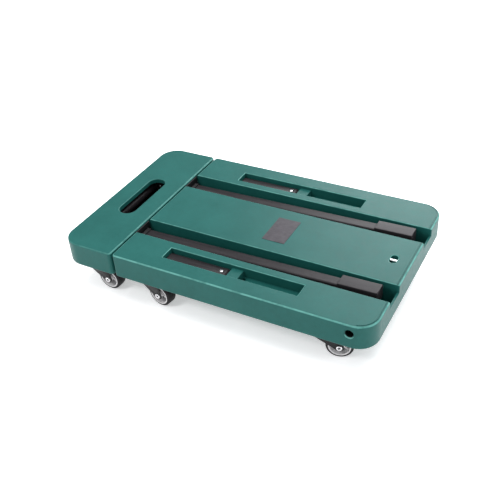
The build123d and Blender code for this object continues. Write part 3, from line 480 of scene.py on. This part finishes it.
def lathe(name, outline, turns, finish):
    """Closed mesh turned about Z from a closed outline of (radius, height) points."""
    shape = bmesh.new()
    rings = []
    for step in range(turns):
        angle = 2 * pi * step / turns
        rings.append([shape.verts.new((r * cos(angle), r * sin(angle), z)) for r, z in outline])
    count = len(outline)
    for step in range(turns):
        ring, following = rings[step], rings[(step + 1) % turns]
        for i in range(count):
            shape.faces.new((ring[i], following[i], following[(i + 1) % count], ring[(i + 1) % count]))
    bmesh.ops.remove_doubles(shape, verts=shape.verts, dist=MERGE / 2)
    bmesh.ops.recalc_face_normals(shape, faces=shape.faces)
    mesh = bpy.data.meshes.new(name)
    shape.to_mesh(mesh)
    shape.free()
    mesh.materials.append(finish)
    return mesh


def arc(centre, radius, start, stop, steps=5):
    """Points of an arc in a turned outline, angles in degrees from the radius towards the height."""
    spread = [radians(start + (stop - start) * i / steps) for i in range(steps + 1)]
    return [(centre[0] + radius * cos(a), centre[1] + radius * sin(a)) for a in spread]


head_round = SCREW_HEAD_H * 0.6
screw_outline = [(0.0, SCREW_REACH), (SCREW_SHANK_R, SCREW_REACH), (SCREW_SHANK_R, 0.0), (SCREW_HEAD_R, 0.0)]
screw_outline += arc((SCREW_HEAD_R - head_round, head_round - SCREW_HEAD_H), head_round, 0, -90)
screw_outline += [(0.0, -SCREW_HEAD_H)]
screw = bpy.data.objects.new("screw_pattern", lathe("screw_pattern", screw_outline, 32, zinc))
scene.collection.objects.link(screw)
cross = bmesh.new()
for size in ((RECESS_L, RECESS_W), (RECESS_W, RECESS_L)):
    arm = bmesh.ops.create_cube(cross, size=1.0)["verts"]
    bmesh.ops.scale(cross, verts=arm, vec=(*size, 2 * RECESS_D))
    bmesh.ops.translate(cross, verts=arm, vec=(0, 0, -SCREW_HEAD_H))
cross_mesh = bpy.data.meshes.new("cross_recess")
cross.to_mesh(cross_mesh)
cross.free()
cutter = bpy.data.objects.new("cross_recess", cross_mesh)
scene.collection.objects.link(cutter)
recess = screw.modifiers.new("cross_recess", "BOOLEAN")
recess.object, recess.operation = cutter, "DIFFERENCE"
recess.solver, recess.use_self = "EXACT", True
settle(screw)
smooth(screw)
bpy.data.objects.remove(cutter)

screw_tree, given, end = new_tree("plate_screws", {"Screw": "Object"})
pattern = add_node(screw_tree, "GeometryNodeObjectInfo", {"Object": given["Screw"]})
screws = add_node(screw_tree, "GeometryNodeInstanceOnPoints",
                  {"Points": given["Geometry"], "Instance": pattern.outputs["Geometry"]})
finish_tree(screw_tree, end, screws.outputs[0], zinc)
for group, body in (("deck", "deck"), ("head", "handle_head")):
    spots = []
    for caster in casters:
        if (group == "head") == caster.startswith("head"):
            low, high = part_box(f"caster_plate_{caster}")
            middle = Vector(((low.x + high.x) / 2, (low.y + high.y) / 2, high.z - PLATE_T))
            spots += [middle + Vector((i * SCREW_PITCH / 2, j * SCREW_PITCH / 2, 0))
                      for i in (-1, 1) for j in (-1, 1)]
    piece = grow(f"plate_screws_{group}", screw_tree, {"Screw": screw}, Matrix.Identity(4), spots)
    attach(piece, body)
    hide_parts(f"caster_screws_{group}")
bpy.data.objects.remove(screw)

# ---- wheel hubs ------------------------------------------------------------------
# One moulding in pale nylon: a rim, a boss round the axle and five rounded spokes
# with open windows between them.
HUB_R = 15.4 * MM
RIM_WALL = 1.9 * MM
WHEEL_W = 17.0 * MM
BORE_R = 2.55 * MM
BOSS_WALL = 2.0 * MM
SPOKES = 5
SPOKE_T = 2.6 * MM
SPOKE_W = 6.0 * MM
HUB_ROUND = 0.5 * MM
HUB_DARK = (0.52, 0.50, 0.505, 1)
HUB_LIGHT = (0.68, 0.665, 0.67, 1)
HUB_ROUGH = (0.22, 0.34)

pale, tree, shader, place = new_finish("hub_plastic")
bloom = noise(tree, place.outputs["Object"], 300.0, 3.0)
tree.links.new(blend_colours(tree, bloom, HUB_DARK, HUB_LIGHT), shader.inputs["Base Color"])
tree.links.new(ramp(tree, bloom, 0.3, 0.7, *HUB_ROUGH), shader.inputs["Roughness"])
relief(tree, shader, (bloom, 0.00005, 0.3))

hub_tree, given, end = new_tree("hub", {
    "Rim Radius": "Float", "Rim Wall": "Float", "Width": "Float", "Bore Radius": "Float",
    "Boss Wall": "Float", "Spokes": "Int", "Spoke Thickness": "Float", "Spoke Width": "Float",
    "Rounding": "Float"})


def rounded_section(width, height):
    """Closed rectangle with rounded corners, the section that a curve carries."""
    sharp = add_node(hub_tree, "GeometryNodeCurvePrimitiveQuadrilateral", {"Width": width, "Height": height})
    rounded = add_node(hub_tree, "GeometryNodeFilletCurve",
                       {"Curve": sharp.outputs[0], "Radius": given["Rounding"]}, mode="POLY")
    rounded.inputs["Count"].default_value = 3
    return rounded.outputs[0]


def hub_ring(inner, wall):
    """Ring from its inner radius outwards, as wide as the hub."""
    middle = calculate(hub_tree, "ADD", inner, calculate(hub_tree, "MULTIPLY", wall, 0.5))
    path = add_node(hub_tree, "GeometryNodeCurvePrimitiveCircle", {"Radius": middle, "Resolution": 64})
    body = add_node(hub_tree, "GeometryNodeCurveToMesh",
                    {"Curve": path.outputs[0], "Profile Curve": rounded_section(wall, given["Width"])})
    return body.outputs[0]


rim = hub_ring(calculate(hub_tree, "SUBTRACT", given["Rim Radius"], given["Rim Wall"]), given["Rim Wall"])
boss = hub_ring(given["Bore Radius"], given["Boss Wall"])
boss_middle = calculate(hub_tree, "ADD", given["Bore Radius"],
                        calculate(hub_tree, "MULTIPLY", given["Boss Wall"], 0.5))
rim_middle = calculate(hub_tree, "SUBTRACT", given["Rim Radius"],
                       calculate(hub_tree, "MULTIPLY", given["Rim Wall"], 0.5))
spoke_start = add_node(hub_tree, "ShaderNodeCombineXYZ", {"X": boss_middle})
spoke_end = add_node(hub_tree, "ShaderNodeCombineXYZ", {"X": rim_middle})
spoke_line = add_node(hub_tree, "GeometryNodeCurvePrimitiveLine",
                      {"Start": spoke_start.outputs[0], "End": spoke_end.outputs[0]})
spoke = add_node(hub_tree, "GeometryNodeCurveToMesh",
                 {"Curve": spoke_line.outputs[0], "Fill Caps": True,
                  "Profile Curve": rounded_section(given["Spoke Thickness"], given["Spoke Width"])})
spots = add_node(hub_tree, "GeometryNodeMeshCircle", {"Vertices": given["Spokes"], "Radius": 0.0})
turn = calculate(hub_tree, "MULTIPLY", add_node(hub_tree, "GeometryNodeInputIndex").outputs[0],
                 calculate(hub_tree, "DIVIDE", 2 * pi, given["Spokes"]))
heading = add_node(hub_tree, "ShaderNodeCombineXYZ", {"Z": turn})
spokes = add_node(hub_tree, "GeometryNodeInstanceOnPoints",
                  {"Points": spots.outputs[0], "Instance": spoke.outputs[0], "Rotation": heading.outputs[0]})
whole = add_node(hub_tree, "GeometryNodeJoinGeometry")
for part in (rim, boss, spokes.outputs[0]):
    hub_tree.links.new(part, whole.inputs[0])
finish_tree(hub_tree, end, whole.outputs[0], pale)

hub_sizes = {"Rim Radius": HUB_R, "Rim Wall": RIM_WALL, "Width": WHEEL_W, "Bore Radius": BORE_R,
             "Boss Wall": BOSS_WALL, "Spokes": SPOKES, "Spoke Thickness": SPOKE_T, "Spoke Width": SPOKE_W,
             "Rounding": HUB_ROUND}
wheel_places = {}
for joint in frame["joints"]:
    if joint["name"].startswith("roll_"):
        axle, up = Vector(joint["axis"]).normalized(), Vector((0, 0, 1))
        turned = Matrix((up.cross(axle), up, axle)).transposed().to_4x4()
        wheel_places[joint["name"][len("roll_"):]] = Matrix.Translation(joint["pos_m"]) @ turned
for caster, place in wheel_places.items():
    piece = grow(f"hub_{caster}", hub_tree, hub_sizes, place)
    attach(piece, f"wheel_{caster}")
    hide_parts(f"wheel_hub_{caster}")

# ---- wheel axles -----------------------------------------------------------------
# Tubular steel rivets through the fork legs and the hub. Their ends are rolled over
# into a rounded rim with a dark hole in the middle.
AXLE_R = 2.5 * MM
AXLE_HEAD_R = 4.2 * MM
AXLE_HEAD_H = 1.7 * MM
AXLE_HOLE_R = 1.7 * MM
AXLE_HOLE_DEPTH = 7.0 * MM

roll = (AXLE_HEAD_R - AXLE_HOLE_R) / 2
for caster, place in wheel_places.items():
    tip = -min((place.inverted() @ v.co).z for v in nodes[f"wheel_axle_{caster}"].data.vertices)
    seat = tip - AXLE_HEAD_H
    hole_floor = tip - AXLE_HOLE_DEPTH
    upper = [(AXLE_R, 0.0), (AXLE_R, seat), (AXLE_HEAD_R, seat)]
    upper += arc((AXLE_HOLE_R + roll, tip - roll), roll, 0, 180, 8)
    upper += [(AXLE_HOLE_R, hole_floor), (0.0, hole_floor)]
    lower = [(r, -z) for r, z in reversed(upper)][:-1]
    piece = bpy.data.objects.new(f"axle_{caster}", lathe(f"axle_{caster}", lower + upper, 40, bright))
    scene.collection.objects.link(piece)
    piece.data.transform(place)
    smooth(piece)
    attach(piece, f"fork_{caster}")
    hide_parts(f"wheel_axle_{caster}")

# ---- tyres -----------------------------------------------------------------------
# Black rubber bands moulded round the rims, with rounded shoulders, a raised bead on
# each side wall and three fine grooves round the tread.
TYRE_R = 19.0 * MM
SHOULDER = 2.6 * MM
GROOVE_W = 0.7 * MM
GROOVE_D = 0.45 * MM
GROOVE_PITCH = 3.4 * MM
BEAD_R = 16.2 * MM
BEAD_H = 0.35 * MM
RUBBER_DARK = (0.0065, 0.0058, 0.0066, 1)
RUBBER_LIGHT = (0.0150, 0.0135, 0.0145, 1)
RUBBER_GLOSS = 0.2
RUBBER_ROUGH = (0.45, 0.62)

rubber, tree, shader, place = new_finish("tyre_rubber")
crumb = noise(tree, place.outputs["Object"], 800.0, 3.0)
tree.links.new(blend_colours(tree, crumb, RUBBER_DARK, RUBBER_LIGHT), shader.inputs["Base Color"])
tree.links.new(ramp(tree, crumb, 0.3, 0.7, *RUBBER_ROUGH), shader.inputs["Roughness"])
shader.inputs["Specular IOR Level"].default_value = RUBBER_GLOSS
relief(tree, shader, (crumb, 0.00008, 0.5))

half = WHEEL_W / 2
side_face = half - BEAD_H
tread = []
for i in (-1, 0, 1):
    middle = i * GROOVE_PITCH
    tread += [(TYRE_R, middle - GROOVE_W / 2), (TYRE_R - GROOVE_D, middle - GROOVE_W / 4),
              (TYRE_R - GROOVE_D, middle + GROOVE_W / 4), (TYRE_R, middle + GROOVE_W / 2)]
tyre_outline = ([(HUB_R, -half), (BEAD_R, -half), (BEAD_R + BEAD_H, -side_face)]
                + arc((TYRE_R - SHOULDER, SHOULDER - side_face), SHOULDER, -90, 0) + tread
                + arc((TYRE_R - SHOULDER, side_face - SHOULDER), SHOULDER, 0, 90)
                + [(BEAD_R + BEAD_H, side_face), (BEAD_R, half), (HUB_R, half)])
for caster, place in wheel_places.items():
    piece = bpy.data.objects.new(f"tyre_{caster}", lathe(f"tyre_{caster}", tyre_outline, 96, rubber))
    scene.collection.objects.link(piece)
    piece.data.transform(place)
    smooth(piece)
    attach(piece, f"wheel_{caster}")
    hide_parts(f"wheel_tyre_{caster}")
